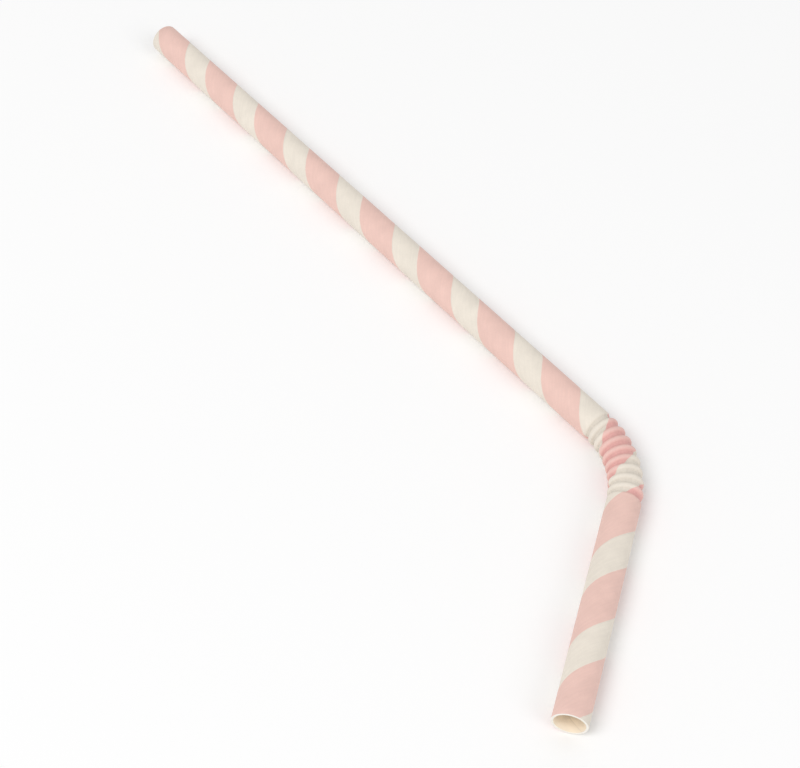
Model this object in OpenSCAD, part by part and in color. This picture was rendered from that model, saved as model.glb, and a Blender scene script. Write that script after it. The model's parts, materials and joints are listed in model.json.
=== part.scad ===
// Flexible-neck paper drinking straw, lying on its side with the neck bent.
// One spiral-wound paper tube: a long stem, a corrugated neck and a short mouth end, open at both ends.
// Millimetres. +Z is up, the stem runs along +X towards the neck, and the neck bends towards -Y.

/* [Tube] */
// Outside diameter of the paper tube
tube_d = 6; // [4.5:0.1:10]
// Thickness of the wound paper wall
wall = 0.4; // [0.25:0.05:0.5]

/* [Lengths] */
// Length of the stem, from its cut end to the first groove
stem_len = 137; // [60:1:220]
// Length of the mouth end, from the last groove to its cut end
mouth_len = 44; // [20:1:90]

/* [Neck] */
// Number of pressed ridges
ridge_count = 8; // [5:1:16]
// Distance from one groove to the next
ridge_pitch = 2; // [1.8:0.1:3]
// Depth of a groove below the tube's surface
groove_depth = 0.4; // [0.25:0.05:0.5]
// Height of a ridge above the tube's surface
ridge_rise = 0.1; // [0.05:0.05:0.2]
// Angle through which the neck is bent, in degrees
bend = 55; // [10:1:90]

/* [Hidden] */

$fn = 48;

// Share of a flank that its round crown takes, the rest being the fillet into the groove
crown_share = 0.75;
// Largest turn between two points of an arc in the wall's section, in degrees
arc_step = 16;
// Depth of the crease along the floor of a groove, on either face of the wall
crease_depth = 0.05;
// Width that a crease keeps on the inside of the bend, where it closes up
crease_gap = 0.02;
// Length by which a crease runs on inside the walls that it joins
crease_lap = 0.03;
paper_pink = [0.92, 0.76, 0.72];

tube_r = tube_d / 2;
crest_r = tube_r + ridge_rise;
groove_r = tube_r - groove_depth;
half_pitch = ridge_pitch / 2;

// The neck turns by the same angle at every groove, about the middle of the groove's crease.
joint_turn = bend / (ridge_count + 1);
crease_shift = groove_r * tan(joint_turn / 2);
crease_half = crease_shift + crease_gap / 2;
lap_half = crease_half + crease_shift + crease_lap;

// A flank climbs from the level floor beside the crease to the top of a ridge, or to the plain tube.
floor_half = crease_half + 2 * crease_lap;
flank = half_pitch - floor_half;

// The straw's box about the first groove, whose middle comes over the origin.
mouth_at = groove_at(ridge_count) + mouth_len * [cos(bend), -sin(bend)];
x_low = -stem_len;
x_high = mouth_at.x + tube_r * sin(bend);
y_low = mouth_at.y - tube_r * cos(bend);
y_high = max(tube_r, crest_r * cos(joint_turn) - half_pitch * sin(joint_turn));

// Middle of groove i, with the first at zero and each pitch turned a little further than the one before.
function groove_at(i) =
    i == 0 ? [0, 0] : groove_at(i - 1) + ridge_pitch * [cos(i * joint_turn), -sin(i * joint_turn)];

function reversed(list) = [for (i = [len(list) - 1 : -1 : 0]) list[i]];

// Points of an arc in the wall's section, as [radius, place along the axis], from the outward direction on.
function arc(center, r, from, to, first = 0) =
    let (n = ceil(abs(to - from) / arc_step))
    [for (i = [first : n])
        let (turn = from + (to - from) * i / n)
        center + r * [cos(turn), sin(turn)]];

// One face of the wall from a crease up to the top of a flank, at a depth below the outer face.
// The fillet and the crown meet at one common slope, so they run smoothly into each other.
function half_wave(top_r, depth) =
    let (
        slope = 2 * atan((top_r - groove_r) / flank),
        fillet_r = flank * (1 - crown_share) / sin(slope),
        crown_r = flank * crown_share / sin(slope))
    concat(
        [[groove_r - depth, crease_half]],
        arc([groove_r + fillet_r, floor_half], fillet_r + depth, 180, 180 - slope),
        arc([top_r - crown_r, half_pitch], crown_r - depth, -slope, 0, first = 1));

// One face of the wall over a whole ridge, from crease to crease, with the ridge's top at zero.
function ridge_face(depth) =
    let (
        rise = [for (p = half_wave(crest_r, depth)) [p.x, p.y - half_pitch]],
        top = len(rise) - 1)
    concat(rise, [for (i = [top - 1 : -1 : 0]) [rise[i].x, -rise[i].y]]);

// One face of the wall of a straight leg, from the crease of the groove at zero back to its cut end.
function leg_face(length, depth) =
    concat(
        [for (p = half_wave(tube_r, depth)) [p.x, -p.y]],
        [[tube_r - depth, -length]]);

// Turns the wall's section about the tube's axis, laid along X.
module revolved(outer, inner) {
    rotate([0, 90, 0])
        rotate_extrude()
            polygon(concat(outer, reversed(inner)));
}

module leg(length) {
    revolved(leg_face(length, 0), leg_face(length, wall));
}

module ridge() {
    revolved(ridge_face(0), ridge_face(wall));
}

// The thinner wall along a crease, a zone of a sphere so that it meets both neighbours at any bend.
module crease() {
    rotate([0, 90, 0])
        rotate_extrude()
            intersection() {
                difference() {
                    circle(groove_r - crease_depth);
                    circle(groove_r - wall + crease_depth);
                }
                translate([0, -lap_half])
                    square([tube_r, 2 * lap_half]);
            }
}

// The neck from groove i on, turned a little further at each crease, and then the mouth end.
module neck(i = 0) {
    rotate([0, 0, -joint_turn / 2])
        crease();
    rotate([0, 0, -joint_turn])
        if (i < ridge_count) {
            translate([half_pitch, 0, 0])
                ridge();
            translate([ridge_pitch, 0, 0])
                neck(i + 1);
        } else {
            mirror([1, 0, 0])
                leg(mouth_len);
        }
}

module straw() {
    color(paper_pink)
        translate([-(x_low + x_high) / 2, -(y_low + y_high) / 2, crest_r]) {
            leg(stem_len);
            neck();
        }
}

straw();
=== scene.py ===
import json
import math
from functools import partial
from types import SimpleNamespace

import bpy
from mathutils import Color, Matrix, Vector


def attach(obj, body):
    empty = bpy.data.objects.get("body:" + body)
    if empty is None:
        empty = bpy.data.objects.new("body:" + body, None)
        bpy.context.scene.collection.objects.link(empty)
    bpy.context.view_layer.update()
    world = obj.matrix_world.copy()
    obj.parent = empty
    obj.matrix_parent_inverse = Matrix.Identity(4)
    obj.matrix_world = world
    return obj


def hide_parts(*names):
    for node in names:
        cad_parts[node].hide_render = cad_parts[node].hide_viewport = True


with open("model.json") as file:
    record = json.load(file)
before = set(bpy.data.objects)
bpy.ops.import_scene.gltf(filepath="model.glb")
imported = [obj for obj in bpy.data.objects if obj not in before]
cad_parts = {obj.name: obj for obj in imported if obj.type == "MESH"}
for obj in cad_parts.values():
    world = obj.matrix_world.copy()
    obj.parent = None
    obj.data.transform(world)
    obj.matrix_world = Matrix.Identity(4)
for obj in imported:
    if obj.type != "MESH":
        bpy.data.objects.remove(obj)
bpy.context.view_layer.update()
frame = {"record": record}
scene = bpy.context.scene
mm = 0.001
print("frame loaded")


# Small helpers for building node trees

def plug(tree, value, socket):
    if isinstance(value, bpy.types.NodeSocket):
        tree.links.new(value, socket)
    else:
        socket.default_value = value


def addNode(tree, kind, values=None, **settings):
    node = tree.nodes.new(kind)
    for name, value in settings.items():
        setattr(node, name, value)
    for name, value in (values or {}).items():
        plug(tree, value, node.inputs[name])
    return node


def plugAll(tree, node, values):
    for socket, value in zip(node.inputs, values):
        plug(tree, value, socket)
    return node.outputs[0]


def calc(tree, operation, *values):
    return plugAll(tree, addNode(tree, "ShaderNodeMath", operation=operation), values)


def vector(tree, *parts):
    return plugAll(tree, addNode(tree, "ShaderNodeCombineXYZ"), parts)


def split(tree, value):
    return addNode(tree, "ShaderNodeSeparateXYZ", {"Vector": value}).outputs


def multiply(tree, first, *others):
    for value in others:
        first = calc(tree, "MULTIPLY", first, value)
    return first


def addShare(tree, base, value, share):
    return calc(tree, "MULTIPLY_ADD", value, share, base)


def between(tree, first, last, share):
    return addShare(tree, first, calc(tree, "SUBTRACT", last, first), share)


def clamp(tree, value, low, high):
    return calc(tree, "MINIMUM", calc(tree, "MAXIMUM", value, low), high)


def fromWhole(tree, value):
    # distance to the nearest whole number
    return calc(tree, "PINGPONG", value, 0.5)


def noise(tree, place, scale, detail, curl=0.0):
    values = {"Vector": place, "Scale": scale, "Detail": detail, "Distortion": curl}
    return addNode(tree, "ShaderNodeTexNoise", values).outputs[0]


def mixColour(tree, factor, first, second, blend="MIX"):
    node = addNode(tree, "ShaderNodeMix", data_type="RGBA", blend_type=blend)
    # its colour sockets share their names with others, so they are found by place
    for place, value in ((0, factor), (6, first), (7, second)):
        plug(tree, value, node.inputs[place])
    return node.outputs[2]


def addSockets(tree, names, kind, way="INPUT"):
    for name in names:
        tree.interface.new_socket(name, in_out=way, socket_type="NodeSocket" + kind)


def fromSrgb(red, green, blue):
    # colours are noted as 0-255 screen values
    linear = Color((red / 255, green / 255, blue / 255)).from_srgb_to_scene_linear()
    return (*linear, 1)


# Sizes: the tube and its two ends come from the frame, the pressed neck has its own values

mounts = {mount["name"]: mount for mount in frame["record"]["mounts"]}
stemEnd = Vector(mounts["stem_outside"]["pos_m"])
stemDir = -Vector(mounts["stem_outside"]["axis"]).normalized()
mouthEnd = Vector(mounts["mouth_bore"]["pos_m"])
mouthDir = Vector(mounts["mouth_bore"]["axis"]).normalized()
tubeRadius = mounts["stem_outside"]["dims"]["r_mm"] * mm
wall = tubeRadius - mounts["stem_bore"]["dims"]["r_mm"] * mm

neck = {
    "ridgeCount": 8,
    "ridgePitch": 2.0 * mm,
    "grooveDepth": 0.4 * mm,
    "ridgeRise": 0.1 * mm,
    "creaseDepth": 0.05 * mm,
    "creaseGap": 0.01 * mm,     # half width that a crease keeps where it closes up
    "floorLap": 0.06 * mm,      # level floor beside a crease
    "crownShare": 0.75,         # share of a flank that the round crown takes
    "unevenness": 0.3,          # how much the pressing varies
    "unevenScale": 1.3,         # how soon it varies, round the tube and along it
    "unevenStep": 0.9,          # how far apart it takes two ridges to be, in tube radii
    "unevenDetail": 2.0,
}

bend = stemDir.angle(mouthDir)
halfTurn = bend / (neck["ridgeCount"] + 1) / 2      # half of what the axis turns from ridge to ridge
bendRadius = neck["ridgePitch"] / 2 / math.tan(halfTurn)
creaseHalf = (tubeRadius - neck["grooveDepth"]) * math.tan(halfTurn) + neck["creaseGap"]
floorHalf = creaseHalf + neck["floorLap"]
tangentRun = bendRadius * math.tan(bend / 2)

# where the two axes cross, seen from above
reach = (mouthEnd - stemEnd).cross(mouthDir).z / stemDir.cross(mouthDir).z
corner = stemEnd + stemDir * reach
neckStart = corner - stemDir * tangentRun
stemLength = (neckStart - stemEnd).length
mouthLength = (mouthEnd - corner).length - tangentRun
for name, length in (("stem", stemLength), ("mouth end", mouthLength), ("bend radius", bendRadius)):
    print(name, round(length / mm, 2), "mm")


# Paper finishes

paper = {
    "white": fromSrgb(236, 227, 214),
    "pink": fromSrgb(237, 200, 189),
    # pink of the pressed neck: partly deeper ink, partly painted shade tinted pink
    "pressedAndShadedPink": fromSrgb(240, 184, 178),
    "inside": fromSrgb(253, 238, 216),
    "cutEdge": fromSrgb(249, 245, 236),
    "roughness": 0.62,
    "specular": 0.35,
    "bumpDepth": 0.03 * mm,
    "bumpStrength": 0.6,
}

fibres = {
    "printedScale": 2600.0,     # how fine the fibres are in each paper
    "innerScale": 2200.0,
    "cutScale": 4200.0,
    "detail": 4.0,
    "curl": 1.4,
    "tone": (0.985, 1.01),      # darkest and lightest
    "dulling": 0.08,            # roughness that they add
    "innerDulling": 0.12,
    "cutDulling": 0.2,
    "cloudShare": 0.12,         # scale of the cloudy tone, as a share of the fibres'
    "cloudDetail": 5.0,
    "cloudTone": (0.965, 1.02),
    "speckShare": 2.2,          # scale of the specks, as a share of the fibres'
    "speckDetail": 2.0,
}

streaks = {                     # long fibres that lie along the wound strip
    "count": 34.0,              # across a strip
    "length": 2.4 * mm,
    "detail": 4.0,
    "tone": (0.978, 1.014),
    "dulling": 0.06,
    "height": 0.6,              # as a share of the fibres' height
}

pleats = {                      # fine folds where pressing crowds the paper together
    "count": 60.0,              # round the tube
    "length": 1.6 * mm,
    "shade": 0.06,
    "depth": 1.6,               # as a share of the fibres' height
}

stripe = {
    "lead": 17.5 * mm,
    "share": 0.57,              # pink share of a turn
    "start": 0.785,             # turns the stripe round the tube
    "edge": 0.005,              # softness of the ink's edge, as a share of a turn
    "ragged": 0.010,            # how far the edge wanders, as a share of a turn
    "raggedScale": 1400.0,
    "raggedDetail": 3.0,
    "inkRoughness": 0.54,
    "inkThickness": 0.12,       # as a share of the fibres' height
    "thinnest": 0.90,           # ink left where fibres show through
    "thinSpan": (0.30, 0.45),   # closes up between these speck values
    "crestLightening": (0.04, 0.28),        # paler pink on top of a ridge: partly ink rubbed off, partly painted highlight
    "crestLighteningSpan": (0.02, 0.30),    # fades out between these shares of a groove's depth
    "ridgeDeepening": 0.6,      # share of the deeper pink that the top of a ridge takes
    "creaseShade": 0.91,
    "creaseSpan": (0.35, 1.0),  # comes in between these shares of a groove's depth
}

plies = {
    "count": 3,                 # paper layers that show on a cut end
    "outerSeam": 0.295,         # where a ply's two edges meet, as a share of a turn
    "outerSeamHalf": 0.006,
    "outerSeamShade": 0.07,
    "outerSeamDepth": 0.8,      # as a share of the fibres' height
    "innerLead": 15.0 * mm,
    "innerSeam": 0.4,
    "innerSeamHalf": 0.012,
    "innerSeamShade": 0.10,
    "innerSeamDepth": 1.0,
    "cutTone": (0.95, 1.02),
    "glueHalf": 0.16,           # half width of a glue line, as a share of a ply
    "glueShade": 0.07,
    "glueDepth": 0.5,
    "torn": 0.12,               # how far torn fibres push a glue line
}

wholeSpan = (0.0, 1.0)
noiseSpan = (0.35, 0.65)        # most of a noise's values lie between these


def makePaperGrain():
    # fibres, cloudy tone and specks that all three papers share
    tree = bpy.data.node_groups.new("paperGrain", "ShaderNodeTree")
    addSockets(tree, ["Fibre Scale"], "Float")
    addSockets(tree, ["Tone", "Fibre", "Speck"], "Float", "OUTPUT")
    scale = addNode(tree, "NodeGroupInput").outputs["Fibre Scale"]
    place = addNode(tree, "ShaderNodeTexCoord").outputs["Object"]
    cloudScale = multiply(tree, scale, fibres["cloudShare"])
    speckScale = multiply(tree, scale, fibres["speckShare"])
    addNode(tree, "NodeGroupOutput", {
        "Tone": noise(tree, place, cloudScale, fibres["cloudDetail"]),
        "Fibre": noise(tree, place, scale, fibres["detail"], fibres["curl"]),
        "Speck": noise(tree, place, speckScale, fibres["speckDetail"]),
    })
    return tree


def makeWoundFibre():
    # streaks that follow a strip round the tube and close up without a step
    tree = bpy.data.node_groups.new("woundFibre", "ShaderNodeTree")
    addSockets(tree, ["Along", "Turns", "Streaks", "Streak Length"], "Float")
    addSockets(tree, ["Streak"], "Float", "OUTPUT")
    given = addNode(tree, "NodeGroupInput").outputs
    angle = multiply(tree, given["Turns"], 2 * math.pi)
    ring = calc(tree, "DIVIDE", given["Streaks"], 2 * math.pi)
    place = vector(
        tree,
        multiply(tree, ring, calc(tree, "COSINE", angle)),
        multiply(tree, ring, calc(tree, "SINE", angle)),
        calc(tree, "DIVIDE", given["Along"], given["Streak Length"]),
    )
    # a streak is already one unit wide and long here
    addNode(tree, "NodeGroupOutput", {"Streak": noise(tree, place, 1.0, streaks["detail"])})
    return tree


paperGrain = makePaperGrain()
woundFibre = makeWoundFibre()


def startPaper(name, fibreScale):
    material = bpy.data.materials.new(name)
    material.use_nodes = True
    tree = material.node_tree
    shader = tree.nodes["Principled BSDF"]
    shader.inputs["Specular IOR Level"].default_value = paper["specular"]
    grain = addNode(tree, "ShaderNodeGroup", {"Fibre Scale": fibreScale}, node_tree=paperGrain)
    return material, tree, shader, grain.outputs


def attribute(tree, name):
    return addNode(tree, "ShaderNodeAttribute", attribute_name=name).outputs["Fac"]


def ease(tree, value, low, high, span=noiseSpan):
    # spreads a span of values over a new range and stops at its ends
    values = {"Value": value, "From Min": span[0], "From Max": span[1], "To Min": low, "To Max": high}
    return addNode(tree, "ShaderNodeMapRange", values).outputs[0]


def darken(tree, mask, amount):
    return addShare(tree, 1.0, mask, -amount)


def shade(tree, colour, level):
    return mixColour(tree, 1.0, colour, level, "MULTIPLY")


def bumpFrom(tree, shader, height):
    values = {"Height": height, "Strength": paper["bumpStrength"], "Distance": paper["bumpDepth"]}
    plug(tree, addNode(tree, "ShaderNodeBump", values).outputs[0], shader.inputs["Normal"])


def readWrap(tree):
    # place along the unpressed paper, and share of a turn round the tube
    wrap = addNode(tree, "ShaderNodeUVMap", uv_map="wrap").outputs[0]
    return split(tree, wrap)[:2]


def windStrip(tree, along, around, lead, start):
    # share of a turn across a strip that is wound round the tube
    turns = calc(tree, "SUBTRACT", calc(tree, "DIVIDE", along, lead), around)
    return calc(tree, "ADD", turns, start)


def streaksAlong(tree, along, turns, kind):
    values = {"Along": along, "Turns": turns, "Streaks": kind["count"], "Streak Length": kind["length"]}
    return addNode(tree, "ShaderNodeGroup", values, node_tree=woundFibre).outputs["Streak"]


def nearLine(tree, turns, place, half):
    # 1 on a line wound round the tube, falling to 0 at half its width
    away = fromWhole(tree, calc(tree, "SUBTRACT", turns, place))
    return ease(tree, away, 1.0, 0.0, (0.0, half))


def layStripe(tree, turns):
    # a band of a turn with a slightly ragged edge
    place = addNode(tree, "ShaderNodeTexCoord").outputs["Object"]
    wander = noise(tree, place, stripe["raggedScale"], stripe["raggedDetail"])
    wander = calc(tree, "SUBTRACT", wander, 0.5)
    fromMiddle = fromWhole(tree, addShare(tree, turns, wander, stripe["ragged"]))
    within = calc(tree, "SUBTRACT", stripe["share"] / 2, fromMiddle)
    return ease(tree, within, 0.0, 1.0, (-stripe["edge"] / 2, stripe["edge"] / 2))


def makePrintedPaper():
    material, tree, shader, grain = startPaper("printedPaper", fibres["printedScale"])
    along, around = readWrap(tree)
    turns = windStrip(tree, along, around, stripe["lead"], stripe["start"])
    streak = streaksAlong(tree, along, turns, streaks)
    seam = nearLine(tree, turns, plies["outerSeam"], plies["outerSeamHalf"])
    pressed = attribute(tree, "pressed")
    ridge = attribute(tree, "ridge")
    pleat = multiply(tree, pressed, ease(tree, streaksAlong(tree, along, around, pleats), 0.0, 1.0))

    # the ink is thinner where fibres show through and on the ridges' tops, partly rubbed off and partly
    # painted highlight; the pink is deeper on the neck, most in the grooves, partly pressed ink and partly
    # painted shade
    # partly painted highlight: the pink is paler in specks on top of the ridges, where ink also rubs off
    crest = multiply(tree, ridge, ease(tree, pressed, 1.0, 0.0, stripe["crestLighteningSpan"]))
    crestLightened = multiply(tree, crest, ease(tree, grain["Speck"], *stripe["crestLightening"]))
    cover = ease(tree, grain["Speck"], stripe["thinnest"], 1.0, stripe["thinSpan"])
    ink = multiply(tree, layStripe(tree, turns), calc(tree, "SUBTRACT", cover, crestLightened))
    # partly painted shade: the pink deepens fully in the grooves and by a share over the ridges
    deep = calc(tree, "MAXIMUM", pressed, multiply(tree, ridge, stripe["ridgeDeepening"]))
    pink = mixColour(tree, deep, paper["pink"], paper["pressedAndShadedPink"])
    colour = mixColour(tree, ink, paper["white"], pink)

    # creases and the fine pleats in them hold shade, and the ply's edge is a fine line
    level = multiply(
        tree,
        ease(tree, grain["Tone"], *fibres["cloudTone"]),
        ease(tree, grain["Fibre"], *fibres["tone"]),
        ease(tree, streak, *streaks["tone"]),
        ease(tree, pressed, 1.0, stripe["creaseShade"], stripe["creaseSpan"]),
        darken(tree, pleat, pleats["shade"]),
        darken(tree, seam, plies["outerSeamShade"]),
    )
    plug(tree, shade(tree, colour, level), shader.inputs["Base Color"])

    dull = ease(tree, ink, paper["roughness"], stripe["inkRoughness"], wholeSpan)
    dull = addShare(tree, dull, grain["Fibre"], fibres["dulling"])
    plug(tree, addShare(tree, dull, streak, streaks["dulling"]), shader.inputs["Roughness"])
    height = addShare(tree, grain["Fibre"], streak, streaks["height"])
    height = addShare(tree, height, ink, stripe["inkThickness"])
    height = addShare(tree, height, pleat, -pleats["depth"])
    bumpFrom(tree, shader, addShare(tree, height, seam, -plies["outerSeamDepth"]))
    return material


def makeInnerPaper():
    material, tree, shader, grain = startPaper("innerPaper", fibres["innerScale"])
    along, around = readWrap(tree)
    turns = windStrip(tree, along, around, plies["innerLead"], 0.0)
    streak = streaksAlong(tree, along, turns, streaks)
    seam = nearLine(tree, turns, plies["innerSeam"], plies["innerSeamHalf"])
    level = multiply(
        tree,
        ease(tree, grain["Tone"], *fibres["cloudTone"]),
        ease(tree, streak, *streaks["tone"]),
        darken(tree, seam, plies["innerSeamShade"]),
    )
    plug(tree, shade(tree, paper["inside"], level), shader.inputs["Base Color"])
    dull = addShare(tree, paper["roughness"], grain["Fibre"], fibres["innerDulling"])
    plug(tree, dull, shader.inputs["Roughness"])
    height = addShare(tree, grain["Fibre"], streak, streaks["height"])
    bumpFrom(tree, shader, addShare(tree, height, seam, -plies["innerSeamDepth"]))
    return material


def makeCutEdge():
    material, tree, shader, grain = startPaper("cutEdge", fibres["cutScale"])
    # glue lines between the plies, with torn fibres over them
    layers = multiply(tree, attribute(tree, "layerDepth"), plies["count"])
    layers = calc(tree, "ADD", layers, ease(tree, grain["Tone"], -plies["torn"], plies["torn"]))
    glue = ease(tree, fromWhole(tree, layers), 1.0, 0.0, (0.0, plies["glueHalf"]))
    level = multiply(
        tree,
        ease(tree, grain["Fibre"], *plies["cutTone"]),
        darken(tree, glue, plies["glueShade"]),
    )
    plug(tree, shade(tree, paper["cutEdge"], level), shader.inputs["Base Color"])
    dull = addShare(tree, paper["roughness"], grain["Fibre"], fibres["cutDulling"])
    plug(tree, dull, shader.inputs["Roughness"])
    bumpFrom(tree, shader, addShare(tree, grain["Fibre"], glue, -plies["glueDepth"]))
    return material


finishes = {"Printed": makePrintedPaper(), "Inner": makeInnerPaper(), "Cut Edge": makeCutEdge()}
print("paper finishes made:", ", ".join(finishes))


# The straw's wall, swept by one rule along the bent axis

rim = {
    "round": 0.05 * mm,         # how far a cut end swells out
    "squareness": 5.0,
}

wallSizes = {
    "Tube Radius": tubeRadius,
    "Wall": wall,
    "Bend": bend,
    "Bend Radius": bendRadius,
    "Ridge Count": float(neck["ridgeCount"]),
    "Groove Depth": neck["grooveDepth"],
    "Ridge Rise": neck["ridgeRise"],
    "Floor Half": floorHalf,
    "Crease Half": creaseHalf,
    "Crease Depth": neck["creaseDepth"],
    "Crown Share": neck["crownShare"],
    "Unevenness": neck["unevenness"],
}
legSizes = {"Stem Length": stemLength, "Mouth Length": mouthLength, "Rim Round": rim["round"]}
wallCounts = {"Sides": 112, "Leg Rings": 32, "Neck Rings": 253, "Rim Rings": 11}
weldGap = 0.002 * mm

# the finish also lies on a flat sheet, in strips side by side with the cut ends above them
sheet = {
    "outerStrip": 0.23,         # width of a strip of the outside, as a share of the sheet
    "innerStrip": 0.10,
    "gutter": 0.006,            # kept free at either side of a strip
    "top": 0.95,
    "rimBand": (0.965, 0.99),
    "neckShare": 0.33,          # of the strip that a mouth end shares with its neck
}

faceSizes = ("From", "To", "From Depth", "To Depth", "Bulge")
faceStrip = ("Strip Left", "Strip Width", "Strip From", "Strip To")
faceCounts = ("Rings", "Layer")


def findRidge(tree, given, run):
    # which ridge a place along the axis belongs to, and how far it is from the nearest groove
    do = partial(calc, tree)
    at = SimpleNamespace()
    neckLength = do("MULTIPLY", given["Bend Radius"], given["Bend"])
    at.grooves = do("ADD", given["Ridge Count"], 1.0)
    at.pitch = do("DIVIDE", neckLength, at.grooves)
    at.neckRun = clamp(tree, run, 0.0, neckLength)
    at.rest = do("SUBTRACT", run, at.neckRun)
    at.ridges = do("DIVIDE", at.neckRun, at.pitch)
    at.ridge = do("ROUND", at.ridges)
    at.off = do("SUBTRACT", at.ridges, at.ridge)
    at.fromGroove = do("MULTIPLY", do("SUBTRACT", 0.5, do("ABSOLUTE", at.off)), at.pitch)
    at.pastRidges = do("GREATER_THAN", at.ridge, do("SUBTRACT", at.grooves, 0.5))
    at.onRidge = do("SUBTRACT", do("GREATER_THAN", at.ridge, 0.5), at.pastRidges)
    return at


def followArc(tree, radius, slope, reachOut):
    # how far an arc rises or falls at a distance from its level point, and the paper's length to there
    do = partial(calc, tree)
    far = clamp(tree, reachOut, 0.0, do("MULTIPLY", radius, do("SINE", slope)))
    turned = do("ARCSINE", do("DIVIDE", far, radius))
    fall = do("MULTIPLY", radius, do("SUBTRACT", 1.0, do("COSINE", turned)))
    return fall, do("MULTIPLY", radius, turned)


def pressWave(tree, given, at):
    # a ridge's wave: level floor, fillet and crown, with a crease along the floor
    do = partial(calc, tree)
    wave = SimpleNamespace()
    wave.top = do("MULTIPLY", given["Ridge Rise"], at.onRidge)
    wave.drop = do("ADD", given["Groove Depth"], wave.top)
    halfPitch = do("MULTIPLY", at.pitch, 0.5)
    wave.flank = do("SUBTRACT", halfPitch, given["Floor Half"])
    slope = do("MULTIPLY", 2.0, do("ARCTAN2", wave.drop, wave.flank))
    bothRadii = do("DIVIDE", wave.flank, do("SINE", slope))
    crown = do("MULTIPLY", bothRadii, given["Crown Share"])
    fillet = do("SUBTRACT", bothRadii, crown)

    climb, climbPaper = followArc(tree, fillet, slope, do("SUBTRACT", at.fromGroove, given["Floor Half"]))
    fall, fallPaper = followArc(tree, crown, slope, do("SUBTRACT", halfPitch, at.fromGroove))
    crownDrop = do("MULTIPLY", crown, do("SUBTRACT", 1.0, do("COSINE", slope)))
    height = do("SUBTRACT", do("ADD", climb, crownDrop), fall)
    crease = do("SUBTRACT", 1.0, do("DIVIDE", at.fromGroove, given["Crease Half"]))
    crease = do("MAXIMUM", crease, 0.0)
    wave.sunk = addShare(tree, do("SUBTRACT", wave.drop, height), crease, given["Crease Depth"])

    floorPaper = do("MINIMUM", at.fromGroove, given["Floor Half"])
    crownPaper = do("SUBTRACT", do("MULTIPLY", crown, slope), fallPaper)
    wave.fromCrease = do("ADD", do("ADD", floorPaper, climbPaper), crownPaper)
    return wave


def pressUneven(tree, given, at, angle):
    # hand-pressed unevenness, which closes up round the tube
    do = partial(calc, tree)
    step = do("MULTIPLY", at.ridges, neck["unevenStep"])
    where = vector(tree, step, do("COSINE", angle), do("SINE", angle))
    press = do("SUBTRACT", noise(tree, where, neck["unevenScale"], neck["unevenDetail"]), 0.5)
    return addShare(tree, 1.0, press, given["Unevenness"])


def placeRing(tree, given, at, radius, angle):
    # rings inside a ridge stay parallel, and the turn is taken up along the groove's floor
    do = partial(calc, tree)
    intoFloor = do("SUBTRACT", given["Floor Half"], at.fromGroove)
    opened = clamp(tree, do("DIVIDE", intoFloor, given["Floor Half"]), 0.0, 1.0)
    step = multiply(tree, opened, 0.5, do("SIGN", at.off))
    lean = do("MULTIPLY", do("DIVIDE", given["Bend"], at.grooves), do("ADD", at.ridge, step))

    # the axis is straight, then an arc, then straight again
    heading = do("DIVIDE", at.neckRun, given["Bend Radius"])
    sine, cosine = do("SINE", heading), do("COSINE", heading)
    axisX = addShare(tree, do("MULTIPLY", given["Bend Radius"], sine), at.rest, cosine)
    axisY = do("SUBTRACT", do("MULTIPLY", given["Bend Radius"], do("SUBTRACT", cosine, 1.0)),
               do("MULTIPLY", at.rest, sine))
    outward = do("MULTIPLY", radius, do("COSINE", angle))
    return vector(
        tree,
        addShare(tree, axisX, outward, do("SINE", lean)),
        addShare(tree, axisY, outward, do("COSINE", lean)),
        do("MULTIPLY", radius, do("SINE", angle)),
    )


def measurePaper(tree, given, at, wave):
    # the same place on the paper as it was before pressing, from the neck's start
    do = partial(calc, tree)
    fullDrop = do("ADD", given["Groove Depth"], given["Ridge Rise"])
    fullSlope = do("MULTIPLY", 2.0, do("ARCTAN2", fullDrop, wave.flank))
    flankPaper = do("DIVIDE", do("MULTIPLY", wave.flank, fullSlope), do("SINE", fullSlope))
    ridgePaper = do("MULTIPLY", 2.0, do("ADD", flankPaper, given["Floor Half"]))
    before = do("MAXIMUM", do("LESS_THAN", at.off, 0.0), at.pastRidges)
    side = do("SUBTRACT", 1.0, do("MULTIPLY", before, 2.0))
    nearCrease = do("MULTIPLY", addShare(tree, at.ridge, side, 0.5), ridgePaper)
    return do("ADD", do("SUBTRACT", nearCrease, do("MULTIPLY", side, wave.fromCrease)), at.rest)


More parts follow.
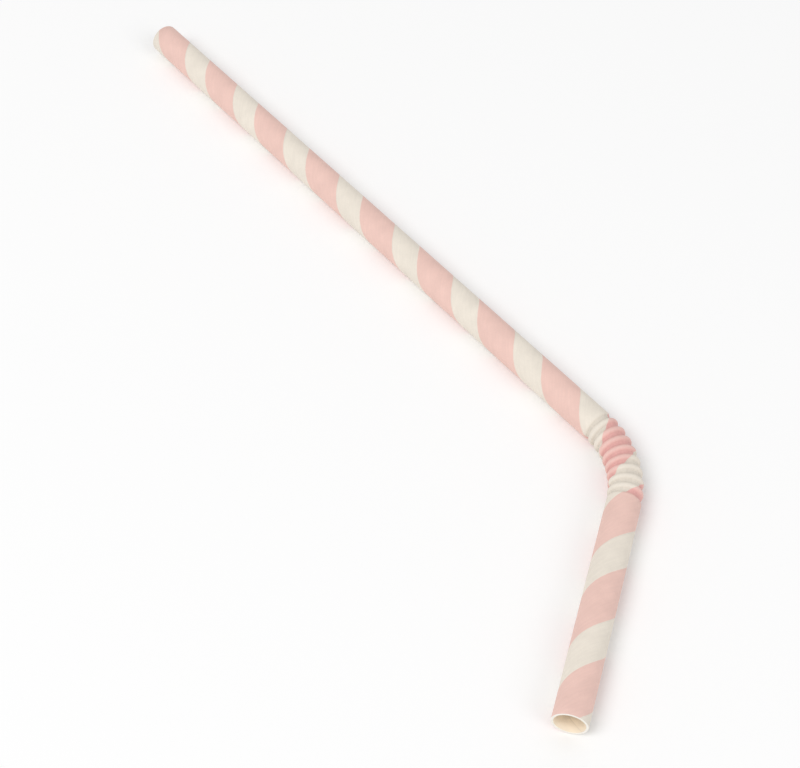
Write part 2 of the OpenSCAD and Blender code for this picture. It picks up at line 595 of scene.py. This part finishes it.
def makeFaceGroup():
    # one face of the wall: a grid whose X runs along the straw and whose Y goes round it
    tree = bpy.data.node_groups.new("wallFace", "GeometryNodeTree")
    do = partial(calc, tree)
    addSockets(tree, (*wallSizes, *faceSizes, *faceStrip), "Float")
    addSockets(tree, ("Sides", *faceCounts), "Int")
    addSockets(tree, ["Face"], "Geometry", "OUTPUT")
    given = addNode(tree, "NodeGroupInput").outputs
    sides = do("ADD", given["Sides"], 1.0)
    counts = {"Vertices X": given["Rings"], "Vertices Y": sides}
    grid = addNode(tree, "GeometryNodeMeshGrid", {"Size X": 1.0, "Size Y": 1.0, **counts})
    spotX, spotY = split(tree, addNode(tree, "GeometryNodeInputPosition").outputs[0])[:2]
    along, around = do("ADD", spotX, 0.5), do("ADD", spotY, 0.5)
    angle = do("MULTIPLY", around, 2 * math.pi)

    # place along the axis, rounded out at a cut end, and depth into the wall
    fromMiddle = do("ABSOLUTE", do("MULTIPLY", spotX, 2.0))
    swell = do("SUBTRACT", 1.0, do("POWER", fromMiddle, rim["squareness"]))
    run = addShare(tree, between(tree, given["From"], given["To"], along), swell, given["Bulge"])
    depth = between(tree, given["From Depth"], given["To Depth"], along)

    at = findRidge(tree, given, run)
    wave = pressWave(tree, given, at)
    sunk = do("MULTIPLY", wave.sunk, pressUneven(tree, given, at, angle))
    radius = do("SUBTRACT", do("ADD", given["Tube Radius"], wave.top), sunk)
    point = placeRing(tree, given, at, do("SUBTRACT", radius, depth), angle)

    # what the finishes read, and the face's place on the flat sheet
    sheetX = addShare(tree, given["Strip Left"], around, given["Strip Width"])
    sheetY = between(tree, given["Strip From"], given["Strip To"], along)
    shape = grid.outputs["Mesh"]
    for name, kind, domain, value in (
        ("wrap", "FLOAT2", "CORNER", vector(tree, measurePaper(tree, given, at, wave), around)),
        ("OFBake", "FLOAT2", "CORNER", vector(tree, sheetX, sheetY)),
        ("pressed", "FLOAT", "POINT", do("DIVIDE", wave.sunk, wave.drop)),
        ("ridge", "FLOAT", "POINT", at.onRidge),
        ("layerDepth", "FLOAT", "POINT", do("DIVIDE", depth, given["Wall"])),
        ("layer", "INT", "FACE", given["Layer"]),
    ):
        values = {"Geometry": shape, "Name": name, "Value": value}
        keep = addNode(tree, "GeometryNodeStoreNamedAttribute", values, data_type=kind, domain=domain)
        shape = keep.outputs[0]
    placed = addNode(tree, "GeometryNodeSetPosition", {"Geometry": shape, "Position": point})
    addNode(tree, "NodeGroupOutput", {"Face": placed.outputs[0]})
    return tree


def listFaces(tree, given):
    # strips of the sheet: the mouth end with its neck, then the stem in two halves, for each side of the wall
    gutter, wide, narrow = sheet["gutter"], sheet["outerStrip"], sheet["innerStrip"]
    strips = range(3)
    outside = [(n * wide + gutter, wide - 2 * gutter) for n in strips]
    inside = [(len(strips) * wide + n * narrow + gutter, narrow - 2 * gutter) for n in strips]
    top, rimBand = sheet["top"], sheet["rimBand"]
    mid = top * sheet["neckShare"]

    neckEnd = multiply(tree, given["Bend Radius"], given["Bend"])
    mouth = calc(tree, "SUBTRACT", calc(tree, "ADD", neckEnd, given["Mouth Length"]), given["Rim Round"])
    foot = calc(tree, "SUBTRACT", given["Rim Round"], given["Stem Length"])
    half = multiply(tree, foot, 0.5)
    deep, outward = given["Wall"], given["Rim Round"]
    inward = multiply(tree, outward, -1.0)
    legRings, neckRings, rimRings = given["Leg Rings"], given["Neck Rings"], given["Rim Rings"]
    printed, inner, cut = range(len(finishes))

    # the section is walked round once: down the outside, over the foot, up the inside, over the mouth
    names = (*faceSizes, *faceCounts, *faceStrip)
    faces = (
        (mouth, neckEnd, 0.0, 0.0, 0.0, legRings, printed, *outside[0], top, mid),
        (neckEnd, 0.0, 0.0, 0.0, 0.0, neckRings, printed, *outside[0], mid, 0.0),
        (0.0, half, 0.0, 0.0, 0.0, legRings, printed, *outside[1], top, 0.0),
        (half, foot, 0.0, 0.0, 0.0, legRings, printed, *outside[2], top, 0.0),
        (foot, foot, 0.0, deep, inward, rimRings, cut, *outside[2], *rimBand),
        (foot, half, deep, deep, 0.0, legRings, inner, *inside[2], 0.0, top),
        (half, 0.0, deep, deep, 0.0, legRings, inner, *inside[1], 0.0, top),
        (0.0, neckEnd, deep, deep, 0.0, neckRings, inner, *inside[0], 0.0, mid),
        (neckEnd, mouth, deep, deep, 0.0, legRings, inner, *inside[0], mid, top),
        (mouth, mouth, deep, 0.0, outward, rimRings, cut, *outside[0], *rimBand),
    )
    return [dict(zip(names, face)) for face in faces]


def setFinishes(tree, given, shape):
    # the print goes over everything first, then the inside and the cut ends take theirs
    layer = addNode(tree, "GeometryNodeInputNamedAttribute", {"Name": "layer"}, data_type="INT").outputs[0]
    for number, name in enumerate(finishes):
        cover = addNode(tree, "GeometryNodeSetMaterial", {"Geometry": shape, "Material": given[name]})
        if number > 0:
            chosen = addNode(tree, "FunctionNodeCompare", data_type="INT", operation="GREATER_EQUAL")
            plug(tree, layer, chosen.inputs[2])     # its whole-number sockets, found by place
            plug(tree, number, chosen.inputs[3])
            plug(tree, chosen.outputs[0], cover.inputs["Selection"])
        shape = cover.outputs[0]
    return shape


def makeStrawTree(faceGroup):
    tree = bpy.data.node_groups.new("strawWall", "GeometryNodeTree")
    addSockets(tree, (*wallSizes, *legSizes), "Float")
    addSockets(tree, wallCounts, "Int")
    addSockets(tree, finishes, "Material")
    addSockets(tree, ["Straw"], "Geometry", "OUTPUT")
    given = addNode(tree, "NodeGroupInput").outputs
    join = addNode(tree, "GeometryNodeJoinGeometry")
    for face in listFaces(tree, given):
        piece = addNode(tree, "GeometryNodeGroup", face, node_tree=faceGroup)
        for name in (*wallSizes, "Sides"):
            plug(tree, given[name], piece.inputs[name])
        plug(tree, piece.outputs[0], join.inputs[0])
    shape = join.outputs[0]
    shape = addNode(tree, "GeometryNodeMergeByDistance", {"Geometry": shape, "Distance": weldGap}).outputs[0]
    shape = addNode(tree, "GeometryNodeSetShadeSmooth", {"Geometry": shape}).outputs[0]
    shape = addNode(tree, "GeometryNodeRealizeInstances", {"Geometry": shape}).outputs[0]
    addNode(tree, "NodeGroupOutput", {"Straw": setFinishes(tree, given, shape)})
    return tree


def makeStraw():
    tree = makeStrawTree(makeFaceGroup())
    draft = bpy.data.objects.new("strawDraft", bpy.data.meshes.new("strawDraft"))
    scene.collection.objects.link(draft)
    sweep = draft.modifiers.new("sweep", "NODES")
    sweep.node_group = tree
    values = {**wallSizes, **legSizes, **wallCounts, **finishes}
    for item in tree.interface.items_tree:
        if item.in_out == "INPUT":
            sweep[item.identifier] = values[item.name]
    graph = bpy.context.evaluated_depsgraph_get()
    swept = draft.evaluated_get(graph)
    mesh = bpy.data.meshes.new_from_object(swept, preserve_all_data_layers=True, depsgraph=graph)
    bpy.data.objects.remove(draft)
    mesh.materials.pop(index=0)     # the grids bring an empty slot, which no face is left in
    mesh.transform(Matrix.Translation(neckStart))
    straw = bpy.data.objects.new("strawTube", mesh)
    scene.collection.objects.link(straw)
    return straw


straw = makeStraw()
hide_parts("straw")
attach(straw, "root")
print("straw made:", len(straw.data.vertices), "vertices,", len(straw.data.polygons), "faces")


# Floor, light and camera

studio = {
    "floorSize": 6.0,
    "floorColour": fromSrgb(255, 255, 255),
    "floorRoughness": 0.9,
    "floorSpecular": 0.0,
    "roomColour": fromSrgb(255, 255, 255),
    "roomLight": 0.62,
    "lamps": {                  # place, width and power of each soft lamp
        "key": ((0.0, -1.2, 1.7), 1.2, 16.4),
        "fill": ((1.5, 0.2, 1.1), 1.0, 4.0),
    },
}

camera = {
    "azimuth": 51,              # degrees, and so is the elevation
    "elevation": 51,
    "distance": 0.30,
    "lens": 74,
    "aim": Vector((0.0159, 0.0015, 0.0)),
    "clipStart": 0.01,
}


def makeFloor():
    half = studio["floorSize"] / 2
    corners = [(-half, -half, 0), (half, -half, 0), (half, half, 0), (-half, half, 0)]
    mesh = bpy.data.meshes.new("floor")
    mesh.from_pydata(corners, [], [(0, 1, 2, 3)])
    floor = bpy.data.objects.new("floor", mesh)
    scene.collection.objects.link(floor)
    material = bpy.data.materials.new("paleFloor")
    material.use_nodes = True
    shader = material.node_tree.nodes["Principled BSDF"]
    shader.inputs["Base Color"].default_value = studio["floorColour"]
    shader.inputs["Roughness"].default_value = studio["floorRoughness"]
    shader.inputs["Specular IOR Level"].default_value = studio["floorSpecular"]
    mesh.materials.append(material)


def makeLight():
    world = bpy.data.worlds.new("softRoom")
    scene.world = world
    world.use_nodes = True
    background = world.node_tree.nodes["Background"]
    background.inputs["Color"].default_value = studio["roomColour"]
    background.inputs["Strength"].default_value = studio["roomLight"]
    for name, (place, width, power) in studio["lamps"].items():
        light = bpy.data.lights.new(name, "AREA")
        light.shape = "DISK"
        light.size = width
        light.energy = power
        lamp = bpy.data.objects.new(name, light)
        lamp.location = place
        lamp.rotation_euler = (-Vector(place)).to_track_quat("-Z", "Y").to_euler()
        scene.collection.objects.link(lamp)


def makeCamera():
    lens = bpy.data.cameras.new("camera")
    lens.lens = camera["lens"]
    lens.clip_start = camera["clipStart"]
    eye = bpy.data.objects.new("camera", lens)
    turn, rise = math.radians(camera["azimuth"]), math.radians(camera["elevation"])
    away = Vector((-math.sin(turn) * math.cos(rise), math.cos(turn) * math.cos(rise), -math.sin(rise)))
    eye.location = camera["aim"] - away * camera["distance"]
    eye.rotation_euler = away.to_track_quat("-Z", "Y").to_euler()
    scene.collection.objects.link(eye)
    scene.camera = eye


makeFloor()
makeLight()
makeCamera()
scene.view_settings.view_transform = "Standard"
print("studio set")
